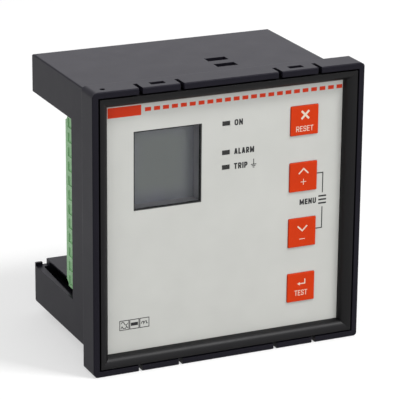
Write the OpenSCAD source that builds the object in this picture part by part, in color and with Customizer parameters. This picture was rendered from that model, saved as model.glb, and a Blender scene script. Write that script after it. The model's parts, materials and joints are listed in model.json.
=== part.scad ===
// Flush-mounting protection relay: square bezel, recessed front with display and keys,
// and a body with a wiring bay in each side.
// X is to the right, Y goes into the panel and Z is up. The origin is the centre of the panel seat.

/* [Bezel] */
// Width and height of the square bezel
bezel_size = 96; // [95:0.5:102]
// Depth of the bezel in front of the panel
bezel_depth = 9.5; // [9.2:0.1:12]
// Radius of the bezel's corners
bezel_corner_r = 1.8; // [1:0.1:3]
// Rounding of the bezel's front and back edges
bezel_edge_r = 0.5; // [0.2:0.05:0.8]
// Thickness of the rim round the front cover
rim_t = 2; // [1.6:0.05:2.3]
// Thickness of the flange that seats on the panel
seat_t = 2; // [1.6:0.1:2.4]

/* [Snap tabs] */
// Distance from the middle to the centre of each snap tab
tab_x = 24.4; // [20:0.2:30]
// Width of a snap tab between its slits
tab_w = 12.9; // [10:0.1:16]
// Width of the slits beside each tab
slit_w = 1.35; // [0.8:0.05:1.6]
// Length of the slits, from the rim's front
slit_l = 5.3; // [4.8:0.1:7]
// Width of the latch window in each tab
window_w = 5; // [4:0.1:7]
// Length of the latch window along the tab
window_l = 2.5; // [2:0.1:3]
// Distance from the rim's front to the latch window
window_y = 2.5; // [2:0.1:3]
// Room round the latch nose in its window
nose_clear = 0.15; // [0.1:0.05:0.3]
// Gap behind the latch nose in its window
nose_back_gap = 0.8; // [0.5:0.1:1.2]
// Depth of the latch nose's top below the rim's surface
nose_drop = 0.6; // [0.3:0.05:0.9]
// Diameter of the round hole near the rim's left corner
pin_hole_d = 1.8; // [1:0.1:2.2]
// Distance of that hole from the rim's left edge
pin_hole_x = 4.7; // [4:0.1:8]
// Distance of that hole from the rim's front
pin_hole_y = 3.4; // [2.5:0.1:5]

/* [Body] */
// Width of the body behind the panel
body_w = 87.6; // [86:0.2:91]
// Height of the body behind the panel
body_h = 88.8; // [87:0.2:91]
// Depth of the body behind the panel
body_depth = 55.4; // [50:0.2:75]
// Rounding of the body's long and upright edges
body_edge_r = 0.5; // [0.3:0.1:1.2]
// Rounding of the body's back edges at the top and bottom
body_back_r = 1.8; // [0.6:0.1:2]
// Thickness of the housing's walls
wall_t = 2; // [1.6:0.1:2.4]

/* [Wiring bays] */
// Distance from the panel seat to the front of the wiring bays
bay_front = 19.5; // [18:0.1:22]
// Depth of the wiring bays from the sides of the body
bay_w = 16; // [14.5:0.1:18]
// Distance of a bay's ledges beyond the pocket of its terminal block
ledge_drop = 1; // [0.6:0.1:1.6]
// Step between the shelf and the ledge at a bay's ends
shelf_rise = 1.9; // [1.2:0.1:2.4]
// Thickness of the shelf's edge over the slot
shelf_plate_t = 0.6; // [0.5:0.1:1]
// Width of the ledge along a bay's open side
ledge_w = 4.4; // [3.8:0.1:5.5]
// Width of the slot along the ledge, at its back end
rail_slot_w = 1.9; // [1.4:0.05:2.4]
// Width of that slot at the bay's front
rail_slot_front_w = 3.6; // [2.4:0.05:3.7]
// Depth of that slot under the shelf
rail_slot_under = 3; // [2:0.1:4]
// Distance from the back of the body to the end of that slot
rail_slot_end = 2.6; // [2.4:0.1:6]
// Thickness of the lip at the back end of the lower ledge
lip_t = 1.2; // [0.8:0.1:2]
// Height of that lip above the ledge
lip_h = 1.1; // [0.6:0.1:1.8]

/* [Panel clamps] */
// Distance of the clamp seats from the middle, to the right
clamp_x = 10.3; // [-15:0.1:15]
// Distance of the clamp seats from the panel seat
clamp_y = 21.1; // [19:0.1:26]
// Width of the clamp slots
clamp_slot_w = 7.4; // [5:0.1:10]
// Length of each clamp slot along the body
clamp_slot_l = 3.6; // [2.5:0.1:4]
// Length of the bar between two clamp slots
clamp_bar_l = 3.8; // [2.5:0.1:6]

/* [Front cover] */
// Gap between the rim and the front cover
cover_gap = 0.6; // [0.3:0.05:0.8]
// Radius of the cover's rounded frame
roll_r = 3.4; // [3:0.1:3.5]
// Depth of the label below the rim
label_depth = 3.75; // [3.6:0.05:4.2]
// Thickness of the plate behind the label
plate_t = 2; // [1.6:0.1:2.2]
// Thickness of the skirt that seats on the bezel's flange
skirt_t = 1.6; // [1.2:0.1:2]
// Thickness of the label
label_t = 0.25; // [0.15:0.05:0.4]
// Gap round the label
label_gap = 0.1; // [0.05:0.05:0.3]

/* [Display] */
// Place of the display window's centre, to the right of the middle
display_x = -20.6; // [-22:0.1:-19]
// Height of the display window's centre above the middle
display_z = 19.4; // [17:0.1:20]
// Width of the display window
display_w = 23.8; // [20:0.1:25]
// Height of the display window
display_h = 26.6; // [22:0.1:28]
// Thickness of the clear pane
pane_t = 1.2; // [0.8:0.1:1.4]
// Width of the pane's edge that lies under the label
pane_edge = 1; // [0.6:0.1:1.4]
// Gap round the clear pane
pane_gap = 0.1; // [0.05:0.05:0.2]
// Depth of the display glass behind the label
lcd_depth = 6.4; // [5.8:0.1:8]
// Thickness of the display glass
lcd_t = 1.8; // [1.4:0.1:2.4]
// Width of the display glass outside the window
lcd_edge = 2; // [1.6:0.1:2.2]
// Thickness of the walls of the display holder
holder_t = 1.2; // [0.8:0.1:1.5]
// Height of the rib behind the cover that keeps the display holder in place
holder_rib_h = 1.2; // [0.8:0.1:2]
// Thickness of that rib
holder_rib_t = 1; // [0.8:0.1:1.2]
// Gap between the rib and the display holder
holder_gap = 0.1; // [0.05:0.05:0.2]
// Thickness of the backlight behind the display glass
backlight_t = 1.4; // [1:0.1:2]
// Width of the rubber contact strips of the display glass
contact_w = 1; // [0.8:0.1:1.2]
// Gap between the contact strips and the backlight
contact_gap = 0.3; // [0.1:0.05:0.5]

/* [Keys] */
// Place of the column of keys, to the right of the middle
key_x = 28; // [26:0.1:28.5]
// Height of the column's centre above the middle
key_z = 0.5; // [-1:0.1:1.5]
// Distance between the keys
key_pitch = 19.4; // [16:0.1:20]
// Width and height of a key
key_size = 10; // [8:0.1:11]
// Radius of a key's corners
key_corner_r = 0.3; // [0.2:0.1:1.5]
// Rounding of a key's front edges
key_edge_r = 0.2; // [0.1:0.05:0.4]
// Height of the keys above the label
key_proud = 0.5; // [0.3:0.05:0.9]
// Travel of the keys
key_travel = 0.5; // [0.3:0.05:0.8]
// Gap round the keys in the cover
key_clear = 0.2; // [0.15:0.05:0.4]
// Gap round the keys in the label
key_label_gap = 0.12; // [0.1:0.02:0.3]
// Width of the collar that keeps a key in the cover
key_collar = 1; // [0.7:0.1:1.2]
// Thickness of that collar
key_collar_t = 0.8; // [0.6:0.1:1]
// Gap between the collar and the plate
key_rest_gap = 0.1; // [0.05:0.05:0.2]
// Radius of the stem behind a key
key_stem_r = 2; // [1.5:0.1:2.5]
// Width and height of a switch
switch_size = 6; // [5:0.1:7]
// Height of a switch on its board
switch_h = 3.5; // [3:0.1:3.9]
// Radius of a switch's plunger
plunger_r = 1.7; // [1.3:0.1:1.9]
// Length of the plunger outside the switch
plunger_out = 1.3; // [1:0.1:1.6]
// Length of the plunger inside the switch
plunger_in = 1; // [0.6:0.1:1.4]
// Gap round the plunger
plunger_clear = 0.12; // [0.08:0.02:0.2]

/* [Indicators] */
// Place of the indicators, to the right of the middle
lamp_x = -0.1; // [-1.5:0.1:8]
// Height of the top indicator above the middle
lamp_on_z = 31.7; // [28:0.1:33]
// Height of the second indicator above the middle
lamp_alarm_z = 21.9; // [21.5:0.1:26]
// Height of the third indicator above the middle
lamp_trip_z = 16.9; // [12:0.1:17.4]
// Width of an indicator
lamp_w = 2.6; // [2:0.1:4]
// Height of an indicator
lamp_h = 1.4; // [1:0.1:1.8]
// Gap round an indicator's light pipe
pipe_gap = 0.1; // [0.05:0.05:0.2]
// Width of the light pipe's collar
pipe_collar = 0.7; // [0.5:0.1:1]
// Thickness of the light pipe's collar
pipe_collar_t = 1; // [0.6:0.1:1.4]
// Height of a lamp on the board
lamp_t = 1.1; // [0.6:0.1:1.6]
// Gap between a lamp and its light pipe
lamp_gap = 0.3; // [0.2:0.05:0.6]

/* [Boards] */
// Thickness of the circuit boards
board_t = 1.6; // [1:0.1:2]
// Gap between the display board and the body's walls
display_board_gap = 2; // [1:0.1:2.4]
// Gap between the main board and the body's walls
main_board_gap = 0.5; // [0.3:0.1:1]
// Distance from the main board to the front wall of the bays
main_board_y = 3.5; // [2.5:0.1:5]
// Radius of the bosses behind the front cover
boss_r = 2.4; // [2:0.1:2.6]
// Distance of the bosses from the edges of the display board
boss_edge = 3.2; // [3:0.1:3.6]
// Radius of the pillars that carry the main board
pillar_r = 3; // [2.6:0.1:3.4]
// Gap between the pillars and the sides of the body
pillar_gap = 1; // [0.6:0.1:1.5]
// Radius of the board screws
screw_r = 1.3; // [1:0.05:1.5]
// Gap round a screw in its hole
screw_gap = 0.05; // [0.02:0.01:0.1]
// Radius of a screw's head
screw_head_r = 2.3; // [2:0.1:2.6]
// Height of a screw's head
screw_head_t = 1.7; // [1.2:0.1:2]
// Length of a screw below the board
screw_l = 5; // [4:0.2:6]

/* [Terminals] */
// Number of poles of a terminal block
term_poles = 12; // [8:1:12]
// Distance between the poles
term_pitch = 5; // [4.8:0.02:5.1]
// Thickness of a terminal block
term_w = 11; // [10:0.1:12]
// Length of a terminal block from the main board to its back
term_d = 16.6; // [15:0.1:20]
// Gap between a terminal block and the housing
term_gap = 0.2; // [0.1:0.05:0.4]
// Gap between the ends of a terminal block and the bay's shelves
term_end_gap = 0.3; // [0.2:0.05:0.6]
// Chamfer along the outer back edge of a terminal block
term_chamfer = 0.3; // [0.2:0.1:0.8]
// Width of the shallow pocket at each pole of a terminal block
term_pocket_w = 3.2; // [2.6:0.1:4]
// Depth of those pockets
term_pocket_t = 0.4; // [0.2:0.05:0.6]
// Width of the plain band along the outer back edge
term_band_w = 2.2; // [1.6:0.1:3]
// Radius of the notches at the ends of a terminal block
term_notch_r = 2; // [1:0.1:2.2]
// Depth of those notches from the block's outer face
term_notch_w = 3; // [2:0.1:4]
// Distance from a terminal screw's axis to the back of the block
term_screw_y = 7.5; // [5:0.1:8.5]
// Radius of a terminal screw's head
term_head_r = 1.6; // [1.3:0.05:1.8]
// Radius of a terminal screw's shank
term_shank_r = 1.2; // [0.9:0.05:1.25]
// Height of a terminal screw's head
term_head_t = 1.6; // [1.2:0.1:2]
// Depth of a terminal screw's head below the block's face
term_head_depth = 0.8; // [0.4:0.1:1.4]
// Width of the slot in a terminal screw
term_slot_w = 0.6; // [0.4:0.05:0.8]
// Width of a wire entry along the block
entry_w = 3.2; // [2.6:0.1:3.4]
// Width of a wire entry across the block
entry_h = 3; // [2.6:0.1:3.2]
// Width of a wire clamp along the block
clamp_cage_w = 3.8; // [3.6:0.1:4]
// Height of a wire clamp across the block
clamp_cage_h = 5; // [4.6:0.1:5.2]
// Length of a wire clamp along the wire
clamp_cage_l = 4.4; // [4:0.1:5]
// Distance from a wire clamp to the block's inner face
clamp_cage_x = 1.4; // [1:0.1:2]

/* [Inner pieces] */
// Width of the transformer's core
core_w = 30; // [26:0.5:34]
// Height of the transformer's core
core_h = 26; // [24:0.5:30]
// Depth of the transformer's core
core_d = 15; // [12:0.5:17]
// Width of the core's middle leg
core_leg = 9; // [8:0.5:10]
// Distance of the core's windows from its edges
core_rim = 5; // [4:0.5:6]
// Length of the coil in front of and behind the core
coil_out = 5; // [4:0.2:6]
// Gap between the coil and the core
coil_gap = 0.2; // [0.1:0.05:0.4]
// Place of the transformer, to the right of the middle
transformer_x = -4; // [-6:0.5:0]
// Height of the transformer above the middle
transformer_z = 21; // [18:0.5:22]
// Width of an output relay
relay_w = 10; // [9:0.5:12]
// Height of an output relay
relay_h = 28; // [24:0.5:29]
// Depth of an output relay
relay_d = 15.5; // [12:0.5:20]
// Rounding of an output relay's edges
relay_edge_r = 0.5; // [0.3:0.1:1]
// Distance between the two output relays
relay_pitch = 13; // [12.5:0.5:14]
// Distance from the core's left wall to the centre of the first output relay
relay_x = 8.8; // [7.8:0.2:9.8]
// Height of the output relays' centre below the middle
relay_z = -20; // [-24:0.5:-18]
// Radius of the supply capacitor
supply_cap_r = 6.2; // [5:0.1:6.5]
// Length of the supply capacitor
supply_cap_l = 20; // [16:0.5:25]
// Radius of the filter capacitor
filter_cap_r = 4; // [3:0.1:5]
// Length of the filter capacitor
filter_cap_l = 12; // [9:0.5:16]
// Place of the capacitors, to the right of the middle
cap_x = 13; // [11:0.5:15]
// Height of the supply capacitor below the middle
supply_cap_z = -13; // [-14:0.5:-11]
// Height of the filter capacitor below the middle
filter_cap_z = -30; // [-34:0.5:-28]
// Width and height of the control chip
chip_size = 12; // [8:0.5:14]
// Thickness of the control chip
chip_t = 1.5; // [1:0.1:2]
// Width of the connector between the boards
plug_w = 20; // [12:0.5:24]
// Height of the connector between the boards
plug_h = 5; // [4:0.1:6]
// Height of that connector below the middle
plug_z = -34; // [-36:0.5:-30]

/* [Hidden] */
$fn = 64;
// Overshoot of cutting shapes beyond the faces they cut
over = 1;
SIDES = [-1, 1];
// Planes along the depth, from the rim's front to the main board
rim_y = -bezel_depth;
roll_y = rim_y + roll_r;
label_y = rim_y + label_depth;
plate_y = label_y + label_t;
plate_back_y = plate_y + plate_t;
lcd_y = label_y + lcd_depth;
display_board_y = lcd_y + lcd_t + backlight_t;
display_board_back_y = display_board_y + board_t;
switch_y = display_board_y - switch_h;
main_back_y = bay_front - wall_t - main_board_y;
main_front_y = main_back_y - board_t;
// Half sizes of the front cover and what lies round it
pocket_half = bezel_size / 2 - rim_t;
cover_half = pocket_half - cover_gap;
recess_half = cover_half - roll_r;
// Inside of the housing
inner_w = body_w - 2 * wall_t;
inner_h = body_h - 2 * wall_t;
core_half = body_w / 2 - bay_w;
term_l = term_poles * term_pitch;
block_half = term_l / 2 + term_end_gap;
ledge_half = block_half + ledge_drop;
shelf_half = ledge_half - shelf_rise;
shelf_x = body_w / 2 - ledge_w;
lip_x = shelf_x + rail_slot_w;
rail_slot_back_y = body_depth - rail_slot_end;
pillar_x = body_w / 2 - wall_t - pillar_gap - pillar_r;
pillar_z = (ledge_half + body_h / 2) / 2;
// Display board and its bosses
display_board_w = inner_w - 2 * display_board_gap;
display_board_h = inner_h - 2 * display_board_gap;
boss_x = display_board_w / 2 - boss_edge;
boss_z = display_board_h / 2 - boss_edge;
// Terminal blocks
term_out_x = body_w / 2 - wall_t - term_gap;
term_in_x = term_out_x - term_w;
term_back_y = main_back_y + term_d;
term_axis_y = term_back_y - term_screw_y;
cage_x = term_in_x + clamp_cage_x;
// Rows of keys, counted from the top, and of indicators
KEY_COUNT = 4;
function key_row_z(row) = key_z + ((KEY_COUNT - 1) / 2 - row) * key_pitch;
LAMP_ROWS = [lamp_on_z, lamp_alarm_z, lamp_trip_z];
key_flange_y = plate_back_y + key_rest_gap;
// Transformer
core_y = main_back_y + coil_out;
core_window_w = (core_w - core_leg) / 2 - core_rim;
core_window_h = core_h - 2 * core_rim;

// Box between two corners
module between(low, high) {
    translate(low) cube(high - low);
}

// Box centred on the Y axis
module centred(w, h, y0, y1) {
    between([-w / 2, y0, -h / 2], [w / 2, y1, h / 2]);
}

// Outlines drawn flat and extruded along one axis
module along_x(x0, x1) {
    translate([x0, 0, 0]) rotate([90, 0, 90]) linear_extrude(x1 - x0) children();
}

module along_y(y0, y1) {
    translate([0, y1, 0]) rotate([90, 0, 0]) linear_extrude(y1 - y0) children();
}

module along_z(z0, z1) {
    translate([0, 0, z0]) linear_extrude(z1 - z0) children();
}

// Round bar along one axis, starting at a point
module bar_x(start, l, r) {
    translate(start) rotate([0, 90, 0]) cylinder(h = l, r = r);
}

module bar_y(start, l, r) {
    translate(start) rotate([-90, 0, 0]) cylinder(h = l, r = r);
}

// Rectangle with round corners
module round_rect(w, h, r) {
    square([w - 2 * r, h], center = true);
    square([w, h - 2 * r], center = true);
    for (sx = SIDES, sy = SIDES)
        translate([sx * (w / 2 - r), sy * (h / 2 - r)]) circle(r);
}

// Block centred on the Y axis, with round edges along its depth, width and height
module eased_block(w, h, y0, y1, depth_r, width_r, height_r) {
    mid = (y0 + y1) / 2;
    depth = y1 - y0;
    intersection() {
        along_y(y0, y1) round_rect(w, h, depth_r);
        along_x(-w, w) translate([mid, 0]) round_rect(depth, h, width_r);
        along_z(-h, h) translate([0, mid]) round_rect(w, depth, height_r);
    }
}

// Children at the four corners of a rectangle in the XZ plane
module at_corners(x, z) {
    for (sx = SIDES, sz = SIDES) translate([sx * x, 0, sz * z]) children();
}

// Children on the right side and mirrored to the left
module both_sides() {
    children();
    mirror([1, 0, 0]) children();
}

// Children at the top and mirrored to the bottom
module top_and_bottom() {
    children();
    mirror([0, 0, 1]) children();
}

// Moulded housing: cavity behind the cover, open to the front
module housing_cavity() {
    centred(inner_w, inner_h, -seat_t - over, bay_front - wall_t);
    centred(2 * (core_half - wall_t), inner_h, 0, body_depth - wall_t);
    top_and_bottom()
        between([-inner_w / 2, 0, ledge_half + wall_t], [inner_w / 2, body_depth - wall_t, inner_h / 2]);
}

// Outline of the slot along a ledge, wider towards the bay's front
module rail_slot_outline() {
    polygon([
        [shelf_x, bay_front],
        [shelf_x + rail_slot_front_w, bay_front],
        [lip_x, rail_slot_back_y],
        [shelf_x, rail_slot_back_y]
    ]);
}

// Slot along the upper ledge of the right bay, open into the arm and under the shelf
module rail_slot() {
    deep_z = ledge_half + wall_t + over;
    along_z(ledge_half - over, deep_z) rail_slot_outline();
    between(
        [shelf_x - rail_slot_under, bay_front, shelf_half + shelf_plate_t],
        [shelf_x + rail_slot_w, rail_slot_back_y, deep_z]
    );
}

// Wiring bay on the right side: shelves, ledges with their slots, and the way through for its terminal block
module wiring_bay() {
    open_x = body_w / 2 + over;
    open_y = body_depth + over;
    between([core_half, bay_front, -shelf_half], [open_x, open_y, shelf_half]);
    between([core_half, bay_front, -block_half], [open_x, term_back_y + term_end_gap, block_half]);
    difference() {
        between([shelf_x, bay_front, -ledge_half], [open_x, open_y, ledge_half]);
        between([lip_x, body_depth - lip_t, -ledge_half - over], [open_x, open_y, lip_h - ledge_half]);
    }
    top_and_bottom() rail_slot();
    between(
        [term_in_x - term_gap, bay_front - wall_t - over, -term_l / 2 - term_gap],
        [inner_w / 2, bay_front + over, term_l / 2 + term_gap]
    );
}

// Slits and latch window of a snap tab in the top of the rim
module snap_tab_cuts() {
    low_z = pocket_half - over;
    high_z = bezel_size / 2 + over;
    for (s = SIDES) {
        slit_x = s * (tab_w + slit_w) / 2;
        between(
            [slit_x - slit_w / 2, rim_y - over, low_z],
            [slit_x + slit_w / 2, rim_y + slit_l, high_z]
        );
    }
    between(
        [-window_w / 2, rim_y + window_y, low_z],
        [window_w / 2, rim_y + window_y + window_l, high_z]
    );
}

// Pair of slots in the top of the body that take a panel clamp
module clamp_slots() {
    for (s = SIDES) {
        mid_y = clamp_y + s * (clamp_bar_l + clamp_slot_l) / 2;
        between(
            [clamp_x - clamp_slot_w / 2, mid_y - clamp_slot_l / 2, inner_h / 2 - over],
            [clamp_x + clamp_slot_w / 2, mid_y + clamp_slot_l / 2, body_h / 2 + over]
        );
    }
}

// Pillar for the main board, ribbed to the side wall
module pillar() {
    back_y = body_depth - wall_t / 2;
    rib_t = wall_t / 2;
    difference() {
        union() {
            bar_y([0, main_back_y, 0], back_y - main_back_y, pillar_r);
            between([0, bay_front, -rib_t / 2], [pillar_r + pillar_gap + wall_t / 2, back_y, rib_t / 2]);
        }
        bar_y([0, main_back_y - over, 0], screw_l + 2 * over, screw_r + screw_gap);
    }
}

module housing() {
    color("#3b3b3f") {
        difference() {
            union() {
                eased_block(bezel_size, bezel_size, rim_y, 0, bezel_corner_r, bezel_edge_r, bezel_edge_r);
                eased_block(body_w, body_h, -seat_t, body_depth, body_edge_r, body_back_r, body_edge_r);
            }
            centred(2 * pocket_half, 2 * pocket_half, rim_y - over, -seat_t);
            housing_cavity();
            both_sides() wiring_bay();
            both_sides() top_and_bottom() translate([tab_x, 0, 0]) snap_tab_cuts();
            top_and_bottom() clamp_slots();
            translate([pin_hole_x - bezel_size / 2, rim_y + pin_hole_y, pocket_half - over])
                cylinder(h = rim_t + 2 * over, r = pin_hole_d / 2);
        }
        both_sides() top_and_bottom() translate([pillar_x, 0, pillar_z]) pillar();
    }
}

// Quarter-round bar along the top of the cover's frame
module frame_bar() {
    intersection() {
        bar_x([-cover_half, roll_y, cover_half], 2 * cover_half, roll_r);
        between([-cover_half, rim_y - over, recess_half], [cover_half, roll_y + over, cover_half]);
    }
}

// Latch nose in the window of a snap tab at the top
module latch_nose() {
    half_w = window_w / 2 - nose_clear;
    front_y = rim_y + window_y + nose_clear;
    back_y = rim_y + window_y + window_l - nose_back_gap;
    between([-half_w, front_y, cover_half - skirt_t], [half_w, back_y, bezel_size / 2 - nose_drop]);
}

// Outlines shared by the cover and the label
module display_outline(edge) {
    translate([display_x, display_z])
        square([display_w + 2 * edge, display_h + 2 * edge], center = true);
}

module key_outlines(edge) {
    for (row = [0 : KEY_COUNT - 1])
        translate([key_x, key_row_z(row)])
            round_rect(key_size + 2 * edge, key_size + 2 * edge, key_corner_r + edge);
}

module lamp_outlines(edge) {
    for (z = LAMP_ROWS)
        translate([lamp_x, z]) square([lamp_w + 2 * edge, lamp_h + 2 * edge], center = true);
}

module front_cover() {
    skirt_half = cover_half - skirt_t;
    root_y = plate_back_y - plate_t / 2;
    color("#2c2c2f") difference() {
        union() {
            for (turn = [0 : 90 : 270]) rotate([0, turn, 0]) frame_bar();
            difference() {
                centred(2 * cover_half, 2 * cover_half, roll_y, -seat_t);
                centred(2 * recess_half, 2 * recess_half, roll_y - over, plate_y);
                centred(2 * skirt_half, 2 * skirt_half, plate_back_y, -seat_t + over);
            }
            along_y(root_y, plate_back_y + holder_rib_h) difference() {
                display_outline(holder_t + holder_gap + holder_rib_t);
                display_outline(holder_t + holder_gap);
            }
            at_corners(boss_x, boss_z) bar_y([0, root_y, 0], display_board_y - root_y, boss_r);
            both_sides() top_and_bottom() translate([tab_x, 0, 0]) latch_nose();
        }
        along_y(plate_y - over, plate_back_y + over) display_outline(0);
        along_y(plate_y - over, plate_y + pane_t) display_outline(pane_edge + pane_gap);
        along_y(plate_y - over, plate_back_y + over) key_outlines(key_clear);
        along_y(plate_y - over, plate_back_y + over) lamp_outlines(pipe_gap);
        at_corners(boss_x, boss_z)
            bar_y([0, display_board_y - screw_l - over, 0], screw_l + 2 * over, screw_r + screw_gap);
    }
}

module front_label() {
    color("#c5c6c0") along_y(label_y, plate_y) difference() {
        square(2 * (recess_half - label_gap), center = true);
        display_outline(0);
        key_outlines(key_label_gap);
        lamp_outlines(pipe_gap);
    }
}

module display_window() {
    color("#9aa0a0", 0.4) along_y(plate_y, plate_y + pane_t) display_outline(pane_edge);
}

// Frame between the cover's plate and the display glass
module display_holder() {
    color("#5c5f61") along_y(plate_back_y, lcd_y) difference() {
        display_outline(holder_t);
        display_outline(0);
    }
}

module lcd_glass() {
    color("#6f7475") along_y(lcd_y, lcd_y + lcd_t) display_outline(lcd_edge);
}

module lcd_backlight() {
    color("#e4e6e0") along_y(lcd_y + lcd_t, display_board_y) difference() {
        display_outline(lcd_edge);
        lcd_contact_outlines(contact_gap);
    }
}

// Strips above and below the window that join the display glass to its board
module lcd_contact_outlines(edge) {
    for (s = SIDES)
        translate([display_x, display_z + s * (display_h / 2 + lcd_edge - contact_w / 2)])
            square([display_w + 2 * edge, contact_w + 2 * edge], center = true);
}

module lcd_contacts() {
    color("#4a4a4a") along_y(lcd_y + lcd_t, display_board_y) lcd_contact_outlines(0);
}

module display_board() {
    color("#2f6b3c") difference() {
        centred(display_board_w, display_board_h, display_board_y, display_board_back_y);
        at_corners(boss_x, boss_z)
            bar_y([0, display_board_y - over, 0], board_t + 2 * over, screw_r + screw_gap);
    }
}

// Screw with its head on the plane y = 0 and its shank along +Y
module board_screw() {
    bar_y([0, -screw_head_t, 0], screw_head_t, screw_head_r);
    bar_y([0, -screw_head_t / 2, 0], screw_head_t / 2 + board_t + screw_l, screw_r);
}

module display_screws() {
    color("#b8babd") at_corners(boss_x, boss_z)
        translate([0, display_board_back_y, 0]) mirror([0, 1, 0]) board_screw();
}

module board_screws() {
    color("#b8babd") at_corners(pillar_x, pillar_z)
        translate([0, main_front_y, 0]) board_screw();
}

// Key cap with its collar behind the cover's plate and its stem
module key(row) {
    collar_mid_y = key_flange_y + key_collar_t / 2;
    collar_size = key_size + 2 * key_collar;
    stem_l = switch_y - plunger_out - collar_mid_y;
    translate([key_x, 0, key_row_z(row)]) {
        eased_block(
            key_size, key_size, label_y - key_proud, collar_mid_y, key_corner_r, key_edge_r, key_edge_r
        );
        centred(collar_size, collar_size, key_flange_y, key_flange_y + key_collar_t);
        bar_y([0, collar_mid_y, 0], stem_l, key_stem_r);
    }
}

module key_reset() { color("#e23a18") key(0); }
module key_up() { color("#e23a18") key(1); }
module key_down() { color("#e23a18") key(2); }
module key_test() { color("#e23a18") key(3); }

// Plunger of the switch behind a key
module plunger(row) {
    bar_y([key_x, switch_y - plunger_out, key_row_z(row)], plunger_out + plunger_in, plunger_r);
}

module plunger_reset() { color("#1d1d1d") plunger(0); }
module plunger_up() { color("#1d1d1d") plunger(1); }
module plunger_down() { color("#1d1d1d") plunger(2); }
module plunger_test() { color("#1d1d1d") plunger(3); }

module switches() {
    bore_l = plunger_in + 2 * key_travel;
    color("#77797c") for (row = [0 : KEY_COUNT - 1])
        translate([key_x, 0, key_row_z(row)]) difference() {
            centred(switch_size, switch_size, switch_y, display_board_y);
            bar_y([0, switch_y - over, 0], bore_l + over, plunger_r + plunger_clear);
        }
}

module light_pipes() {
    color("#4d4f50") {
        along_y(label_y, display_board_y - lamp_t - lamp_gap) lamp_outlines(0);
        along_y(plate_back_y, plate_back_y + pipe_collar_t) lamp_outlines(pipe_collar);
    }
}

module lamps() {
    color("#f0efe2") along_y(display_board_y - lamp_t, display_board_y) lamp_outlines(0);
}

module control_chip() {
    color("#202022") centred(chip_size, chip_size, display_board_back_y, display_board_back_y + chip_t);
}

module board_connector() {
    color("#2a2a2c") translate([0, 0, plug_z])
        centred(plug_w, plug_h, display_board_back_y, main_front_y);
}

module main_board() {
    color("#2f6b3c") difference() {
        centred(inner_w - 2 * main_board_gap, inner_h - 2 * main_board_gap, main_front_y, main_back_y);
        at_corners(pillar_x, pillar_z)
            bar_y([0, main_front_y - over, 0], board_t + 2 * over, screw_r + screw_gap);
    }
}

// Children at each pole of a terminal block
module at_poles() {
    for (pole = [0 : term_poles - 1])
        translate([0, 0, (pole - (term_poles - 1) / 2) * term_pitch]) children();
}

// Section of a terminal block on the right side
module terminal_section() {
    polygon([
        [term_in_x, main_back_y],
        [term_out_x, main_back_y],
        [term_out_x, term_back_y - term_chamfer],
        [term_out_x - term_chamfer, term_back_y],
        [term_in_x, term_back_y]
    ]);
}

// Cuts of one pole: shallow pocket, screw bore, wire entry and the room for its clamp
module pole_cuts() {
    bore_r = term_head_r + term_gap;
    cage_room_w = clamp_cage_w + term_gap;
    between(
        [term_out_x - term_pocket_t, bay_front, -term_pocket_w / 2],
        [term_out_x + over, term_back_y - term_band_w, term_pocket_w / 2]
    );
    bar_x([cage_x, term_axis_y, 0], term_out_x - cage_x + over, bore_r);
    between(
        [cage_x - term_gap, term_axis_y - clamp_cage_l / 2 - term_gap, -cage_room_w / 2],
        [cage_x + clamp_cage_h + term_gap, term_axis_y + clamp_cage_l / 2 + term_gap, cage_room_w / 2]
    );
    between(
        [cage_x + term_gap, term_axis_y, -entry_w / 2],
        [cage_x + term_gap + entry_h, term_back_y + over, entry_w / 2]
    );
}

module terminal_block() {
    difference() {
        along_z(-term_l / 2, term_l / 2) terminal_section();
        at_poles() pole_cuts();
        top_and_bottom() bar_x(
            [term_out_x - term_notch_w, term_back_y, term_l / 2], term_notch_w + over, term_notch_r
        );
    }
}

// Clamp cage of one pole, with its way through for the wire and its screw hole
module wire_clamp() {
    wire_w = entry_w - 2 * term_gap;
    mid_x = cage_x + term_gap + entry_h / 2;
    difference() {
        between(
            [cage_x, term_axis_y - clamp_cage_l / 2, -clamp_cage_w / 2],
            [cage_x + clamp_cage_h, term_axis_y + clamp_cage_l / 2, clamp_cage_w / 2]
        );
        between(
            [mid_x - entry_h / 2 + 2 * term_gap, term_axis_y - clamp_cage_l / 2 - over, -wire_w / 2],
            [mid_x + entry_h / 2, term_axis_y + clamp_cage_l / 2 + over, wire_w / 2]
        );
        bar_x([mid_x, term_axis_y, 0], clamp_cage_h, term_shank_r + screw_gap);
    }
}

// Slotted screw of one pole
module terminal_screw() {
    head_x = term_out_x - term_head_depth - term_head_t;
    tip_x = cage_x + entry_h;
    difference() {
        union() {
            bar_x([head_x, term_axis_y, 0], term_head_t, term_head_r);
            bar_x([tip_x, term_axis_y, 0], head_x - tip_x + term_head_t / 2, term_shank_r);
        }
        between(
            [head_x + term_head_t / 2, term_axis_y - term_head_r - over, -term_slot_w / 2],
            [term_out_x, term_axis_y + term_head_r + over, term_slot_w / 2]
        );
    }
}

module right_terminal_block() { color("#7fae7c") terminal_block(); }
module left_terminal_block() { color("#7fae7c") mirror([1, 0, 0]) terminal_block(); }
module right_wire_clamps() { color("#c9b26a") at_poles() wire_clamp(); }
module left_wire_clamps() { color("#c9b26a") mirror([1, 0, 0]) at_poles() wire_clamp(); }
module right_terminal_screws() { color("#b8babd") at_poles() terminal_screw(); }
module left_terminal_screws() { color("#b8babd") mirror([1, 0, 0]) at_poles() terminal_screw(); }

module transformer_core() {
    window_x = (core_leg + core_window_w) / 2;
    color("#6a6c70") translate([transformer_x, 0, transformer_z]) difference() {
        centred(core_w, core_h, core_y, core_y + core_d);
        for (s = SIDES)
            translate([s * window_x, 0, 0])
                centred(core_window_w, core_window_h, core_y - over, core_y + core_d + over);
    }
}

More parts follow.
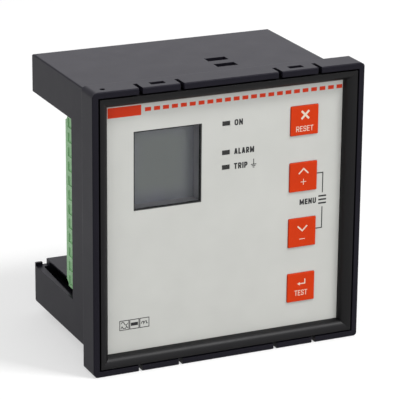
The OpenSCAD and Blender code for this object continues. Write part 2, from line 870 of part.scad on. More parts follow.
module transformer_coil() {
    outer_w = core_leg + 2 * core_window_w - 2 * coil_gap;
    outer_h = core_window_h - 2 * coil_gap;
    color("#a8682c") translate([transformer_x, 0, transformer_z]) difference() {
        along_y(main_back_y, core_y + core_d + coil_out) round_rect(outer_w, outer_h, core_window_w / 2);
        for (s = SIDES)
            translate([0, 0, s * core_h / 2])
                centred(core_leg + 2 * coil_gap, core_h, core_y - coil_gap, core_y + core_d + coil_gap);
    }
}

// Sealed output relay, first or second from the left
module output_relay(place) {
    left_x = wall_t - core_half;
    translate([left_x + relay_x + place * relay_pitch, 0, relay_z])
        eased_block(
            relay_w, relay_h, main_back_y, main_back_y + relay_d, relay_edge_r, relay_edge_r, relay_edge_r
        );
}

module trip_relay() { color("#2f6fa8") output_relay(0); }
module alarm_relay() { color("#2f6fa8") output_relay(1); }

module supply_capacitor() {
    color("#26262a") bar_y([cap_x, main_back_y, supply_cap_z], supply_cap_l, supply_cap_r);
}

module filter_capacitor() {
    color("#26262a") bar_y([cap_x, main_back_y, filter_cap_z], filter_cap_l, filter_cap_r);
}

housing();
front_cover();
front_label();
display_window();
display_holder();
lcd_glass();
lcd_backlight();
lcd_contacts();
display_board();
display_screws();
key_reset();
key_up();
key_down();
key_test();
plunger_reset();
plunger_up();
plunger_down();
plunger_test();
switches();
light_pipes();
lamps();
control_chip();
board_connector();
main_board();
board_screws();
left_terminal_block();
right_terminal_block();
left_wire_clamps();
right_wire_clamps();
left_terminal_screws();
right_terminal_screws();
transformer_core();
transformer_coil();
trip_relay();
alarm_relay();
supply_capacitor();
filter_capacitor();
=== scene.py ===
"""Looks of a flush-mounting protection relay: finishes, print, studio light and camera."""

import json
import math

import bmesh
import bpy
from mathutils import Matrix, Vector
from mathutils.geometry import delaunay_2d_cdt


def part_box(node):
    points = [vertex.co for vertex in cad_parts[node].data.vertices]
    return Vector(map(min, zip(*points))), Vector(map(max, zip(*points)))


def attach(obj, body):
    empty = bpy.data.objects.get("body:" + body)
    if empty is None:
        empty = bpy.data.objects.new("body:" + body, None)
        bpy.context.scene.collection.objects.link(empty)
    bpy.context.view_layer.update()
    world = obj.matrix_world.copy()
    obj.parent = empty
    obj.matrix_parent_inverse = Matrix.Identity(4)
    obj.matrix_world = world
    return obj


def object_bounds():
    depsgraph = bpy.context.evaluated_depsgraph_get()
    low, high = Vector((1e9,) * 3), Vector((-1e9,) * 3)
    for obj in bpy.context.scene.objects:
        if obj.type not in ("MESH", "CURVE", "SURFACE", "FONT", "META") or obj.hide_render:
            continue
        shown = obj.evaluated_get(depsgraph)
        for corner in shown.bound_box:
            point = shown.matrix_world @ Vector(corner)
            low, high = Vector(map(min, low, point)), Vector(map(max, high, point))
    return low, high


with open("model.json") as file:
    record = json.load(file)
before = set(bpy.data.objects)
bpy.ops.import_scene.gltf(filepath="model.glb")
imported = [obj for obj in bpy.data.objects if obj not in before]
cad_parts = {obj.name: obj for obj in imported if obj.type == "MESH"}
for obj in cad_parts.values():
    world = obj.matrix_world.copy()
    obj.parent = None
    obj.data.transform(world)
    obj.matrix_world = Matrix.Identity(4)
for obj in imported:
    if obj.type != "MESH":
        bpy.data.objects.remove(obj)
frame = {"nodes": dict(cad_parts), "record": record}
cad_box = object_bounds()
nodes = frame["nodes"]

MM = 0.001
WHITE = (1, 1, 1, 1)
CASE = "case"
KEY_BODIES = {"key_reset": "reset_key", "key_up": "up_key", "key_down": "down_key", "key_test": "test_key"}


# Shader helpers

FINE_DETAIL = 3.0
SOFT_DETAIL = 2.0
CLOUD_DETAIL = 4.0
LINE_DETAIL = 5.0
NOISE_ROUGHNESS = 0.6
EVEN = (1, 1, 1)
EDGE_SAMPLES = 6
EDGE_TURN = (0.80, 0.99)

# Sockets of the mix node when it mixes colours
MIX_INPUTS = (0, 6, 7)
MIX_RESULT = 2


def add(tree, kind, inputs=None, **settings):
    """Adds a shader node. Each input is a plain value or the output socket that feeds it."""
    made = tree.nodes.new(kind)
    for name, value in settings.items():
        setattr(made, name, value)
    for name, value in (inputs or {}).items():
        if isinstance(value, bpy.types.NodeSocket):
            tree.links.new(value, made.inputs[name])
        else:
            made.inputs[name].default_value = value
    return made


def start(name):
    """A new material with an empty node tree."""
    material = bpy.data.materials.new(name)
    material.use_nodes = True
    material.node_tree.nodes.clear()
    return material, material.node_tree


def close(tree, shader):
    """Joins a shader to the material's output."""
    add(tree, "ShaderNodeOutputMaterial", {"Surface": shader})


def principled(tree, inputs):
    """Closes a material with one surface shader."""
    close(tree, add(tree, "ShaderNodeBsdfPrincipled", inputs).outputs[0])


def part_place(tree):
    """Place of a point in the part's own frame."""
    return add(tree, "ShaderNodeTexCoord").outputs["Object"]


def noise(tree, size, detail=FINE_DETAIL, stretch=EVEN):
    """Noise between 0 and 1 whose blotches are about as large as size, in the part's own frame."""
    place = part_place(tree)
    if stretch != EVEN:
        place = add(tree, "ShaderNodeMapping", {"Vector": place, "Scale": stretch}).outputs["Vector"]
    inputs = {"Vector": place, "Scale": 1 / size, "Detail": detail, "Roughness": NOISE_ROUGHNESS}
    return add(tree, "ShaderNodeTexNoise", inputs).outputs["Fac"]


def remap(tree, value, low, high, start_at=0.3, end_at=0.7):
    """A value that runs from low to high while the input runs from start_at to end_at."""
    inputs = {"Value": value, "From Min": start_at, "From Max": end_at, "To Min": low, "To Max": high}
    return add(tree, "ShaderNodeMapRange", inputs).outputs["Result"]


def combine(tree, operation, *values):
    """Result of a maths node on one or two values."""
    return add(tree, "ShaderNodeMath", dict(enumerate(values)), operation=operation).outputs[0]


def blend(tree, share, first, second):
    """Colour between two colours."""
    inputs = dict(zip(MIX_INPUTS, (share, first, second)))
    return add(tree, "ShaderNodeMix", inputs, data_type="RGBA").outputs[MIX_RESULT]


def grey(level):
    """Neutral colour with full alpha."""
    return (level, level, level, 1)


def shade(colour, gain):
    """A colour made lighter or darker, with full alpha."""
    return (*(min(1.0, channel * gain) for channel in colour[:3]), 1.0)


def mottled(tree, value, colour, low, high):
    """Colour that changes with a noise value from low times the colour to high times the colour."""
    return blend(tree, remap(tree, value, 0.0, 1.0), shade(colour, low), shade(colour, high))


def bumped(tree, height, relief, depth, normal=None):
    """Normal of a surface whose relief follows a height, on top of another normal if one is given."""
    inputs = {"Height": height, "Strength": relief, "Distance": depth}
    if normal is not None:
        inputs["Normal"] = normal
    return add(tree, "ShaderNodeBump", inputs).outputs["Normal"]


def soft_edges(tree, radius):
    """Normal with eased edges, and a mask that is 1 on the edges."""
    eased = add(tree, "ShaderNodeBevel", {"Radius": radius}, samples=EDGE_SAMPLES).outputs["Normal"]
    flat = add(tree, "ShaderNodeNewGeometry").outputs["Normal"]
    turn = add(tree, "ShaderNodeVectorMath", {0: eased, 1: flat}, operation="DOT_PRODUCT").outputs["Value"]
    return eased, remap(tree, turn, 1.0, 0.0, *EDGE_TURN)


def seen_by(tree, rays):
    """1 for the named kinds of ray, else 0."""
    path = add(tree, "ShaderNodeLightPath").outputs
    share = path[rays[0]]
    for ray in rays[1:]:
        share = combine(tree, "MAXIMUM", share, path[ray])
    return share


# Materials

def moulded(name, colour, rough=0.5, grain=0.3 * MM, depth=0.02 * MM, relief=0.5, blotch=9 * MM, spread=0.08,
            edge=0.15 * MM, wear_and_highlight=1.35, rub=1.5 * MM, edge_share=(0.3, 0.9), shine=0.5, uneven=0.03, tint=WHITE):
    """Moulded plastic: fine grain, faint clouding, and lighter edges, partly rubbed wear, partly painted
    highlight.
    """
    material, tree = start(name)
    cloud = noise(tree, blotch, CLOUD_DETAIL)
    normal, rim = soft_edges(tree, edge)
    body = mottled(tree, cloud, colour, 1 - spread, 1 + spread)
    rim = combine(tree, "MULTIPLY", rim, remap(tree, noise(tree, rub), *edge_share))
    principled(tree, {
        # Lighter edges: rubbed wear, and where the gain is large a painted edge highlight.
        "Base Color": blend(tree, rim, body, shade(colour, wear_and_highlight)),
        "Roughness": remap(tree, cloud, rough - uneven, rough + uneven),
        "Normal": bumped(tree, noise(tree, grain), relief, depth, normal),
        "Specular IOR Level": shine,
        "Specular Tint": tint,
    })
    return material


def metal(name, colour, rough=0.32, uneven=(-0.1, 0.12), line=0.8 * MM, along=(1, 1, 12), blotch=2.5 * MM,
          shades=(0.85, 1.1), edge=0.1 * MM, wear_and_highlight=1.25, relief=0.3, depth=0.01 * MM):
    """Plated or bare metal with fine drawn lines."""
    material, tree = start(name)
    lines = noise(tree, line, LINE_DETAIL, along)
    normal, rim = soft_edges(tree, edge)
    body = mottled(tree, noise(tree, blotch), colour, *shades)
    principled(tree, {
        "Base Color": blend(tree, rim, body, shade(colour, wear_and_highlight)),
        "Metallic": 1.0,
        "Roughness": remap(tree, lines, *(rough + change for change in uneven)),
        "Normal": bumped(tree, lines, relief, depth, normal),
    })
    return material


def layered(name, colour, layer, waver, shades, blotch, rough, relief, depth, metallic=0.0):
    """Stack of thin layers, seen as fine lines across the depth, such as steel sheets or a coil's turns."""
    material, tree = start(name)
    inputs = {"Vector": part_place(tree), "Scale": 1 / layer, "Distortion": waver, "Detail": SOFT_DETAIL}
    layers = add(tree, "ShaderNodeTexWave", inputs, bands_direction="Y").outputs["Fac"]
    principled(tree, {
        "Base Color": blend(tree, layers, *(shade(colour, gain) for gain in shades)),
        "Metallic": metallic,
        "Roughness": remap(tree, noise(tree, blotch), *rough),
        "Normal": bumped(tree, layers, relief, depth),
    })
    return material


def circuit(name, mask, copper, cell=4 * MM, track_l=1.6, track_w=0.35, gap=0.035, offset=0.37,
            blotch=6 * MM, spread=0.15, rough=(0.28, 0.42), relief=0.4, depth=0.03 * MM):
    """Circuit board: solder mask over a pattern of tracks, whose sizes are shares of a cell."""
    material, tree = start(name)
    upright = {"Vector": part_place(tree), "Rotation": (math.radians(90), 0, 0)}
    inputs = {
        "Vector": add(tree, "ShaderNodeMapping", upright).outputs["Vector"], "Scale": 1 / cell,
        "Mortar Size": gap, "Brick Width": track_l, "Row Height": track_w,
    }
    tracks = add(tree, "ShaderNodeTexBrick", inputs, offset=offset).outputs["Fac"]
    cloud = noise(tree, blotch)
    body = mottled(tree, cloud, mask, 1 - spread, 1 + spread)
    principled(tree, {
        "Base Color": blend(tree, tracks, body, copper),
        "Roughness": remap(tree, cloud, *rough),
        "Normal": bumped(tree, tracks, relief, depth),
    })
    return material


def film(name, colour, tooth=0.12 * MM, relief=0.25, depth=0.006 * MM, blotch=14 * MM, spread=0.025,
         rough=(0.42, 0.54), shine=0.4):
    """Matt printed film: very fine tooth and faint clouding."""
    material, tree = start(name)
    cloud = noise(tree, blotch, SOFT_DETAIL)
    principled(tree, {
        "Base Color": mottled(tree, cloud, colour, 1 - spread, 1 + spread),
        "Roughness": remap(tree, cloud, *rough),
        "Normal": bumped(tree, noise(tree, tooth), relief, depth),
        "Specular IOR Level": shine,
    })
    return material


def ink(name, colour, spread=0.12, shine=0.35, blotch=0.25 * MM, rough=(0.4, 0.6), relief=0.2,
        depth=0.005 * MM):
    """Screen-printed ink with slightly uneven cover."""
    material, tree = start(name)
    cover = noise(tree, blotch)
    principled(tree, {
        "Base Color": mottled(tree, cover, colour, 1 - spread, 1 + spread),
        "Roughness": remap(tree, cover, *rough),
        "Normal": bumped(tree, cover, relief, depth),
        "Specular IOR Level": shine,
    })
    return material


def display(name, colour, cool, box, fade=(0.5, 0.95), blotch=8 * MM, waver=0.12, grain=0.3 * MM,
            rough=(0.28, 0.4)):
    """Grey polariser of a display that is off, a little cooler towards the edges of a box."""
    material, tree = start(name)
    low, high = box
    axes = add(tree, "ShaderNodeSeparateXYZ", {"Vector": part_place(tree)}).outputs
    shares = []
    for axis, first, last in (("X", low.x, high.x), ("Z", low.z, high.z)):
        across = remap(tree, axes[axis], -1.0, 1.0, first, last)
        shares.append(combine(tree, "ABSOLUTE", across))
    outer = combine(tree, "MAXIMUM", *shares)
    cloud = remap(tree, noise(tree, blotch, SOFT_DETAIL), -waver, waver)
    cooler = remap(tree, combine(tree, "ADD", outer, cloud), 0.0, 1.0, *fade)
    principled(tree, {
        "Base Color": blend(tree, cooler, colour, cool),
        "Roughness": remap(tree, noise(tree, grain), *rough),
    })
    return material


def clear(name, passed=0.96, dark=0.02, blotch=6 * MM, rough=(0.04, 0.12), ior=1.45):
    """Clear pane: mostly see-through, with a reflection that grows towards grazing angles."""
    material, tree = start(name)
    smear = noise(tree, blotch, SOFT_DETAIL)
    through = add(tree, "ShaderNodeBsdfTransparent", {"Color": grey(passed)})
    inputs = {"Base Color": grey(dark), "Roughness": remap(tree, smear, *rough)}
    gloss = add(tree, "ShaderNodeBsdfPrincipled", inputs)
    share = add(tree, "ShaderNodeFresnel", {"IOR": ior})
    inputs = {0: share.outputs[0], 1: through.outputs[0], 2: gloss.outputs[0]}
    close(tree, add(tree, "ShaderNodeMixShader", inputs).outputs[0])
    return material


# Finishes of the CAD pieces, by the record's material slots

KEY_ORANGE = (0.611, 0.040, 0.0046, 1)
COOL = (0.90, 0.88, 1.0, 1)

LOOKS = {
    # The strongly lighter edges of the housing and the cover are mostly a painted edge highlight.
    "housing_plastic": (moulded, dict(
        colour=(0.0095, 0.0088, 0.0130), rough=0.42, spread=0.04, wear_and_highlight=1.6, shine=0.09, uneven=0.015,
        tint=COOL)),
    "cover_plastic": (moulded, dict(
        colour=(0.0036, 0.0034, 0.0038), rough=0.42, grain=0.2 * MM, depth=0.008 * MM, spread=0.04,
        wear_and_highlight=1.8, shine=0.18, uneven=0.02)),
    "label_film": (film, dict(colour=(0.575, 0.58, 0.55))),
    "clear_pane": (clear, {}),
    "holder_plastic": (moulded, dict(colour=(0.78, 0.77, 0.80), rough=0.45, wear_and_highlight=1.0)),
    "display_glass": (display, dict(
        colour=(0.375, 0.405, 0.395, 1), cool=(0.39, 0.405, 0.455, 1), box=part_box("display_holder"))),
    "white_plastic": (moulded, dict(colour=(0.78, 0.78, 0.74), rough=0.4, wear_and_highlight=1.05)),
    "contact_rubber": (moulded, dict(colour=(0.10, 0.10, 0.10), rough=0.8, grain=0.4 * MM)),
    "circuit_board": (circuit, dict(mask=(0.03, 0.16, 0.07), copper=(0.10, 0.28, 0.10, 1))),
    "plated_steel": (metal, dict(colour=(0.62, 0.63, 0.65))),
    "key_plastic": (moulded, dict(
        colour=KEY_ORANGE, rough=0.42, grain=0.15 * MM, depth=0.006 * MM, spread=0.05, edge=0.12 * MM,
        wear_and_highlight=1.2, shine=0.1)),
    "black_plastic": (moulded, dict(colour=(0.012, 0.012, 0.013), rough=0.45, shine=0.2)),
    "smoked_plastic": (moulded, dict(
        colour=(0.02, 0.02, 0.019), rough=0.25, grain=0.5 * MM, depth=0.004 * MM, shine=0.3)),
    "terminal_plastic": (moulded, dict(
        colour=(0.285, 0.535, 0.275), rough=0.5, grain=0.25 * MM, depth=0.008 * MM, edge=0.05 * MM,
        wear_and_highlight=1.04)),
    "clamp_brass": (metal, dict(colour=(0.72, 0.55, 0.25), rough=0.28)),
    "core_steel": (layered, dict(
        colour=(0.30, 0.30, 0.31), layer=3.2 * MM, waver=0.4, shades=(0.6, 1.1), blotch=4 * MM,
        rough=(0.35, 0.6), relief=0.6, depth=0.05 * MM, metallic=0.8)),
    "coil_winding": (layered, dict(
        colour=(0.55, 0.24, 0.06), layer=2.4 * MM, waver=0.6, shades=(0.7, 1.2), blotch=5 * MM,
        rough=(0.35, 0.55), relief=0.7, depth=0.08 * MM)),
    "relay_plastic": (moulded, dict(colour=(0.04, 0.16, 0.40), rough=0.35)),
}
finishes = {name: make(name, **values) for name, (make, values) in LOOKS.items()}
for part in frame["record"]["subparts"]:
    slots = nodes[part["node"]].data.materials
    slots.clear()
    slots.append(finishes[part["material_slot"]])


# Print: thin flat shapes on planes that face the front

INK_T = 0.02 * MM
CORNER_STEPS = 6
NEAR = 1e-4
MITRE_LIMIT = 0.3

# Width of each capital letter as a share of its height, and its pen strokes on a unit square
LETTERS = {
    "A": (0.68, [
        [(0, -0.1), (0.4, 1)], [(0.4, 1), (0.6, 1)], [(0.6, 1), (1, -0.1)], [(0.16, 0.24), (0.84, 0.24)],
    ]),
    "E": (0.52, [[(1, 1), (0, 1), (0, 0), (1, 0)], [(0, 0.52), (0.9, 0.52)]]),
    "I": (0.18, [[(0.5, 0), (0.5, 1)]]),
    "L": (0.50, [[(0, 1), (0, 0), (1, 0)]]),
    "M": (0.80, [[(0, 0), (0, 1)], [(0, 1), (0.5, 0.2), (1, 1)], [(1, 1), (1, 0)]]),
    "N": (0.64, [[(0, 0), (0, 1)], [(0, 1), (1, 0)], [(1, 0), (1, 1)]]),
    "O": (0.66, [[(0, 0), (1, 0), (1, 1), (0, 1), (0, 0)]]),
    "P": (0.58, [[(0, 0), (0, 1)], [(0, 1), (1, 1), (1, 0.42), (0, 0.42)]]),
    "R": (0.62, [[(0, 0), (0, 1)], [(0, 1), (1, 1), (1, 0.45), (0, 0.45)], [(0.5, 0.45), (1, -0.1)]]),
    "S": (0.58, [[(1, 0.8), (1, 1), (0, 1), (0, 0.52), (1, 0.52), (1, 0), (0, 0), (0, 0.2)]]),
    "T": (0.58, [[(0, 1), (1, 1)], [(0.5, 0), (0.5, 1)]]),
    "U": (0.62, [[(0, 1), (0, 0), (1, 0), (1, 1)]]),
}
ROUND_LETTERS = "OPRSU"
LETTER_CURVE = 0.5
LETTER_GAP = 0.13


def rounded(points, radius, closed):
    """Line whose corners are replaced by short curves."""
    last = len(points) - 1
    made = []
    for i, corner in enumerate(points):
        if not closed and i in (0, last):
            made.append(corner)
            continue
        before = points[i - 1] - corner
        after = points[(i + 1) % len(points)] - corner
        cut = min(radius, before.length / 2, after.length / 2)
        first = corner + before.normalized() * cut
        second = corner + after.normalized() * cut
        for step in range(CORNER_STEPS + 1):
            share = step / CORNER_STEPS
            made.append(first.lerp(corner, share).lerp(corner.lerp(second, share), share))
    kept = [p for i, p in enumerate(made) if i == 0 or (p - made[i - 1]).length > NEAR]
    if closed and (kept[0] - kept[-1]).length < NEAR:
        kept.pop()
    return kept


def square_end(end, inner, reach):
    """End of a pen stroke, carried on by half the pen where the stroke runs straight across or up."""
    along = (end - inner).normalized()
    return end + along * reach if max(abs(along.x), abs(along.y)) > 1 - NEAR else end


class Print:
    """Printed shapes on one plane, joined into one thin piece. Places are in millimetres, across and up."""

    def __init__(self, plane_y, centre=(0, 0)):
        self.y = plane_y
        self.centre = centre
        self.outlines = []

    def shape(self, outline):
        """Filled outline."""
        points = [Vector(p) for p in outline]
        area = sum(a.cross(b) for a, b in zip(points, points[1:] + points[:1]))
        self.outlines.append(points if area > 0 else points[::-1])

    def field(self, x0, x1, z0, z1):
        """Filled rectangle."""
        self.shape([(x0, z0), (x1, z0), (x1, z1), (x0, z1)])

    def line(self, points, width, closed=False):
        """Line of even width with mitred corners."""
        path = [Vector(p) for p in points]
        last = len(path) - 1
        sides = []
        for i, p in enumerate(path):
            before = path[i - 1] if i > 0 or closed else None
            after = path[(i + 1) % len(path)] if i < last or closed else None
            ends = [(a, b) for a, b in ((before, p), (p, after)) if a is not None and b is not None]
            runs = [(b - a).normalized() for a, b in ends]
            along = sum(runs, Vector((0, 0))).normalized()
            across = Vector((-along.y, along.x))
            reach = width / 2 / max(MITRE_LIMIT, across.dot(Vector((-runs[0].y, runs[0].x))))
            sides.append((p + across * reach, p - across * reach))
        pairs = list(zip(sides, sides[1:] + sides[:1]))
        for a, b in pairs if closed else pairs[:-1]:
            self.shape((a[0], b[0], b[1], a[1]))

    def word(self, text, x0, x1, z, height, pen):
        """Capital letters drawn with a pen, which fill a width and a height centred on z."""
        gap = LETTER_GAP * height
        stretch = (x1 - x0) / (sum(LETTERS[letter][0] * height + gap for letter in text) - gap)
        low = z - (height - pen) / 2
        left = x0
        for letter in text:
            share, strokes = LETTERS[letter]
            width = share * height * stretch
            for stroke in strokes:
                closed = stroke[0] == stroke[-1]
                path = [
                    Vector((left + pen / 2 + across * (width - pen), low + up * (height - pen)))
                    for across, up in (stroke[:-1] if closed else stroke)
                ]
                if not closed:
                    path[0] = square_end(path[0], path[1], pen / 2)
                    path[-1] = square_end(path[-1], path[-2], pen / 2)
                if letter in ROUND_LETTERS:
                    path = rounded(path, LETTER_CURVE * width, closed)
                self.line(path, pen, closed)
            left += width + gap * stretch

    def finish(self, name, material, body):
        """The print as a piece that rides on a body: one layer of all its shapes, given its thickness."""
        points = [p for outline in self.outlines for p in outline]
        faces = []
        for outline in self.outlines:
            first = faces[-1][-1] + 1 if faces else 0
            faces.append(list(range(first, first + len(outline))))
        spots, _, triangles, _, _, owners = delaunay_2d_cdt(points, [], faces, 1, NEAR)
        layer = bmesh.new()
        across, up = self.centre
        verts = [layer.verts.new((across + p.x * MM, self.y, up + p.y * MM)) for p in spots]
        for triangle, inside in zip(triangles, owners):
            if inside:
                layer.faces.new([verts[i] for i in triangle])
        raised = bmesh.ops.extrude_face_region(layer, geom=layer.faces[:])["geom"]
        raised = [v for v in raised if isinstance(v, bmesh.types.BMVert)]
        bmesh.ops.translate(layer, verts=raised, vec=(0, -INK_T, 0))
        bmesh.ops.delete(layer, geom=[v for v in layer.verts if not v.link_faces], context="VERTS")
        bmesh.ops.recalc_face_normals(layer, faces=layer.faces)
        data = bpy.data.meshes.new(name)
        layer.to_mesh(data)
        layer.free()
        data.materials.append(material)
        piece = bpy.data.objects.new(name, data)
        bpy.context.scene.collection.objects.link(piece)
        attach(piece, body)
        return piece


BLACK_INK = (0.012, 0.012, 0.013, 1)
CREAM_INK = (0.75, 0.62, 0.50, 1)
INK_ORANGE = (0.68, 0.046, 0.014, 1)
black_ink = ink("black_ink", BLACK_INK)
cream_ink = ink("cream_ink", CREAM_INK, spread=0.05)
orange_ink = ink("orange_ink", INK_ORANGE, spread=0.05, shine=0.1)
label_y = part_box("front_label")[0].y

# Words beside the indicators: each has its right end and its middle height
WORD_X = 2.8
CAP_H = 2.05
BOLD_PEN = 0.48
INDICATOR_WORDS = {"ON": (5.8, 31.7), "ALARM": (10.0, 21.9), "TRIP": (7.7, 16.9)}
words = Print(label_y)
for text, (end_x, middle_z) in INDICATOR_WORDS.items():
    words.word(text, WORD_X, end_x, middle_z, CAP_H, BOLD_PEN)

# Earth sign after the last of these words
EARTH_X = 9.9
EARTH_PEN = 0.28
EARTH_RISE = 1.7
EARTH_DROP = 0.2
EARTH_STEP = 0.5
EARTH_HALVES = (1.0, 0.65, 0.3)
trip_z = INDICATOR_WORDS["TRIP"][1]
earth_z = trip_z - EARTH_DROP
words.line([(EARTH_X, trip_z + EARTH_RISE), (EARTH_X, earth_z)], EARTH_PEN)
for row, half in enumerate(EARTH_HALVES):
    bar_z = earth_z - row * EARTH_STEP
    words.line([(EARTH_X - half, bar_z), (EARTH_X + half, bar_z)], EARTH_PEN)

# Bracket that joins the two middle keys, open in the middle for its word and sign
MENU_X0 = 27.0
MENU_X1 = 33.1
MENU_Z = 1.3
MENU_H = 1.95
MENU_SIGN_X0 = 33.95
MENU_SIGN_X1 = 36.85
MENU_SIGN_PEN = 0.55
MENU_SIGN_STEP = 1.25
BRACKET_PEN = 0.36
BRACKET_X = 35.4
KEY_SIDE_X = 33.2
UP_Z = 10.7
UP_END_Z = 3.7
DOWN_END_Z = -1.2
DOWN_Z = -8.6
words.word("MENU", MENU_X0, MENU_X1, MENU_Z, MENU_H, BOLD_PEN)
words.line([(KEY_SIDE_X, UP_Z), (BRACKET_X, UP_Z), (BRACKET_X, UP_END_Z)], BRACKET_PEN)
words.line([(BRACKET_X, DOWN_END_Z), (BRACKET_X, DOWN_Z), (KEY_SIDE_X, DOWN_Z)], BRACKET_PEN)
for row in (-1, 0, 1):
    bar_z = MENU_Z + row * MENU_SIGN_STEP
    words.line([(MENU_SIGN_X0, bar_z), (MENU_SIGN_X1, bar_z)], MENU_SIGN_PEN)

# Row of three waveform signs near the bottom left corner, each drawn from its frame's lower left corner
SIGN_X = -37.4
SIGN_Z = -34.2
SIGN_SIZE = 3.2
SIGN_PITCH = 3.55
SIGN_COUNT = 3
SIGN_PEN = 0.25
WAVE_STEPS = 16
WAVE_X = 0.4
WAVE_L = 2.4
WAVE_Z = 2.2
WAVE_H = 0.6
HALF_WAVES = [(0.4, 0.5), (0.8, 1.25), (1.2, 0.5), (2.0, 0.5), (2.4, 1.25), (2.8, 0.5)]
BAR_X = (0.35, 2.85)
BAR_Z = (1.05, 2.15)
PULSES = [
    (0.4, 1.25), (0.8, 2.0), (1.3, 2.0), (1.3, 1.25), (1.8, 2.0), (2.3, 2.0), (2.3, 1.25), (2.8, 1.25),
]
sign_x = [SIGN_X + i * SIGN_PITCH for i in range(SIGN_COUNT)]
for x in sign_x:
    end_x = x + SIGN_SIZE
    top_z = SIGN_Z + SIGN_SIZE
    words.line([(x, SIGN_Z), (end_x, SIGN_Z), (end_x, top_z), (x, top_z)], SIGN_PEN, closed=True)
wave = []
for i in range(WAVE_STEPS + 1):
    share = i / WAVE_STEPS
    swing = WAVE_H * math.sin(2 * math.pi * share)
    wave.append((sign_x[0] + WAVE_X + share * WAVE_L, SIGN_Z + WAVE_Z + swing))
words.line(wave, SIGN_PEN)
words.line([(sign_x[0] + x, SIGN_Z + z) for x, z in HALF_WAVES], SIGN_PEN)
words.field(*(sign_x[1] + x for x in BAR_X), *(SIGN_Z + z for z in BAR_Z))
words.line([(sign_x[2] + x, SIGN_Z + z) for x, z in PULSES], SIGN_PEN)
words.finish("label_print_black", black_ink, CASE)

# Orange field and row of dashes along the top of the label
HEADER_Z = 39.7
FIELD_X0 = -41.4
FIELD_X1 = -29.9
FIELD_HALF = 1.7
DASH_L = 2.1
DASH_H = 1.3
DASH_PITCH = 3.1
DASH_X0 = -28.6
DASHES = 23
header = Print(label_y)
header.field(FIELD_X0, FIELD_X1, HEADER_Z - FIELD_HALF, HEADER_Z + FIELD_HALF)
for i in range(DASHES):
    dash_x = DASH_X0 + i * DASH_PITCH
    header.field(dash_x, dash_x + DASH_L, HEADER_Z - DASH_H / 2, HEADER_Z + DASH_H / 2)
header.finish("label_print_orange", orange_ink, CASE)

# Black border of the display window, inside the walls of the display's holder
HOLDER_T = 1.2
BORDER_W = 0.45
holder_low, holder_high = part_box("display_holder")
half_w = (holder_high.x - holder_low.x) / 2 / MM - HOLDER_T - BORDER_W / 2
half_h = (holder_high.z - holder_low.z) / 2 / MM - HOLDER_T - BORDER_W / 2
window = (holder_low + holder_high) / 2
border = Print(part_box("display_window")[0].y, (window.x, window.z))
border_path = [(-half_w, -half_h), (half_w, -half_h), (half_w, half_h), (-half_w, half_h)]
border.line(border_path, BORDER_W, closed=True)
border.finish("display_border", black_ink, CASE)


# Signs on the keys, in millimetres from the middle of each key

CROSS_X = 0.15
CROSS_Z = 1.95
CROSS_HALF = 1.36
CROSS_PEN = 0.7
CHEVRON_HALF = 1.75
CHEVRON_RISE = 0.85
CHEVRON_PEN = 0.47
CHEVRON = [(-CHEVRON_HALF, -CHEVRON_RISE), (0, CHEVRON_RISE), (CHEVRON_HALF, -CHEVRON_RISE)]
UP_SIGN_Z = 2.0
DOWN_SIGN_Z = 1.45
PLUS_HALF = 1.02
PLUS_Z = -1.7
MINUS_Z = -2.25
THIN_PEN = 0.23
ARROW_HALF = 1.4
ARROW_TOP = 2.85
ARROW_Z = 1.25
ARROW_END_X = -0.5
ARROW_PEN = 0.36
HEAD_X = -0.45
HEAD_HALF = 0.6

# Left end, right end, middle height and letter height of the words on the keys
RESET_WORD = (-3.1, 3.15, -2.75, 1.85)
TEST_WORD = (-2.35, 2.35, -1.95, 1.9)


def key_print(node):
    """Empty print on the front of a key, centred on it."""
    low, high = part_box(node)
    middle = (low + high) / 2
    return Print(low.y, (middle.x, middle.z))


key_signs = {node: key_print(node) for node in KEY_BODIES}

reset = key_signs["key_reset"]
for slope in (-1, 1):
    rise = slope * CROSS_HALF
    reset.line([(CROSS_X - CROSS_HALF, CROSS_Z - rise), (CROSS_X + CROSS_HALF, CROSS_Z + rise)], CROSS_PEN)
reset.word("RESET", *RESET_WORD, THIN_PEN)

up = key_signs["key_up"]
up.line([(x, z + UP_SIGN_Z) for x, z in CHEVRON], CHEVRON_PEN)
up.line([(-PLUS_HALF, PLUS_Z), (PLUS_HALF, PLUS_Z)], THIN_PEN)
up.line([(0, PLUS_Z - PLUS_HALF), (0, PLUS_Z + PLUS_HALF)], THIN_PEN)

down = key_signs["key_down"]
down.line([(x, DOWN_SIGN_Z - z) for x, z in CHEVRON], CHEVRON_PEN)
down.line([(-PLUS_HALF, MINUS_Z), (PLUS_HALF, MINUS_Z)], THIN_PEN)

test = key_signs["key_test"]
test.line([(ARROW_HALF, ARROW_TOP), (ARROW_HALF, ARROW_Z), (ARROW_END_X, ARROW_Z)], ARROW_PEN)
test.shape([(-ARROW_HALF, ARROW_Z), (HEAD_X, ARROW_Z - HEAD_HALF), (HEAD_X, ARROW_Z + HEAD_HALF)])
test.word("TEST", *TEST_WORD, THIN_PEN)

for node, sign in key_signs.items():
    sign.finish(node + "_print", cream_ink, KEY_BODIES[node])


# Studio: white floor and world, soft lamps

SEEN_WHITE = ("Is Camera Ray", "Is Glossy Ray", "Is Transmission Ray")
WORLD_LIGHT = 0.49
COOL_WHITE = (0.95, 0.935, 1.0, 1)
world = bpy.data.worlds.new("studio")
world.use_nodes = True
sky_tree = world.node_tree
sky_tree.nodes.clear()
level = remap(sky_tree, seen_by(sky_tree, SEEN_WHITE), WORLD_LIGHT, 1.0, 0.0, 1.0)
hue = blend(sky_tree, seen_by(sky_tree, ("Is Glossy Ray",)), WHITE, COOL_WHITE)
sky = add(sky_tree, "ShaderNodeBackground", {"Color": hue, "Strength": level})
add(sky_tree, "ShaderNodeOutputWorld", {"Surface": sky.outputs[0]})
bpy.context.scene.world = world

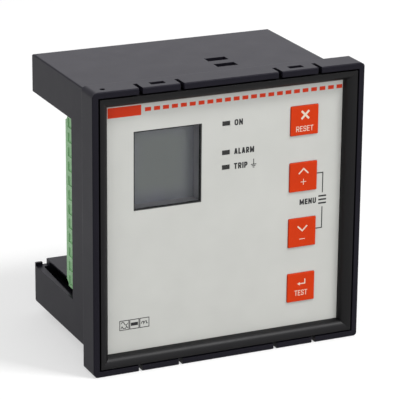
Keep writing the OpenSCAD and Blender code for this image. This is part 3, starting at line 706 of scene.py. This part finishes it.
FLOOR_HALF = 4.0
FLOOR_GAP = 0.02 * MM
FLOOR_ALBEDO = 0.5
FLOOR_GLOW = 0.52
floor_mesh = bpy.data.meshes.new("floor")
floor_z = cad_box[0].z - FLOOR_GAP
corners = [(-1, -1), (1, -1), (1, 1), (-1, 1)]
floor_mesh.from_pydata([(x * FLOOR_HALF, y * FLOOR_HALF, floor_z) for x, y in corners], [], [(0, 1, 2, 3)])
floor_paint, floor_tree = start("floor_paint")
paint = add(floor_tree, "ShaderNodeBsdfDiffuse", {"Color": grey(FLOOR_ALBEDO)})
glow_level = remap(floor_tree, seen_by(floor_tree, SEEN_WHITE), 0.0, FLOOR_GLOW, 0.0, 1.0)
glow = add(floor_tree, "ShaderNodeEmission", {"Color": WHITE, "Strength": glow_level})
lit_floor = add(floor_tree, "ShaderNodeAddShader", {0: paint.outputs[0], 1: glow.outputs[0]})
close(floor_tree, lit_floor.outputs[0])
floor_mesh.materials.append(floor_paint)
floor = bpy.data.objects.new("floor", floor_mesh)
bpy.context.scene.collection.objects.link(floor)

# Place and size of each lamp in metres, and its power in watts
LAMPS = {
    "key_lamp": ((0.59, -0.58, 1.25), 0.34, 14.0),
    "back_lamp": ((0.60, 1.25, 0.75), 1.2, 2.7),
    "front_lamp": ((0.10, -1.65, 0.40), 1.4, 7.2),
    "side_lamp": ((-1.40, -0.80, 0.60), 1.0, 5.0),
}


def lamp(name, place, size, power):
    """Square soft lamp that points at the object."""
    data = bpy.data.lights.new(name, "AREA")
    data.size = size
    data.energy = power
    made = bpy.data.objects.new(name, data)
    made.location = place
    made.rotation_mode = "QUATERNION"
    made.rotation_quaternion = (-Vector(place)).to_track_quat("-Z", "Y")
    bpy.context.scene.collection.objects.link(made)


for name, values in LAMPS.items():
    lamp(name, *values)


# Camera at the photograph's viewing angle

AZIMUTH = math.radians(-24.576)
ELEVATION = math.radians(18.671)
ROLL = math.radians(0.518)
DISTANCE = 793.208 * MM
TARGET = Vector((0.533, 15.5, -1.018)) * MM
LENS = 213.58
SENSOR = 36.0

back = Vector((
    math.sin(AZIMUTH) * math.cos(ELEVATION),
    -math.cos(AZIMUTH) * math.cos(ELEVATION),
    math.sin(ELEVATION),
))
level_right = (-back).cross(Vector((0, 0, 1))).normalized()
level_up = level_right.cross(-back)
right = math.cos(ROLL) * level_right + math.sin(ROLL) * level_up
upward = -math.sin(ROLL) * level_right + math.cos(ROLL) * level_up
turn = Matrix((right, upward, back)).transposed().to_4x4()
camera_data = bpy.data.cameras.new("camera")
camera_data.lens = LENS
camera_data.sensor_width = SENSOR
camera = bpy.data.objects.new("camera", camera_data)
camera.matrix_world = Matrix.Translation(TARGET + back * DISTANCE) @ turn
bpy.context.scene.collection.objects.link(camera)
bpy.context.scene.camera = camera

bpy.context.scene.view_settings.view_transform = "Standard"
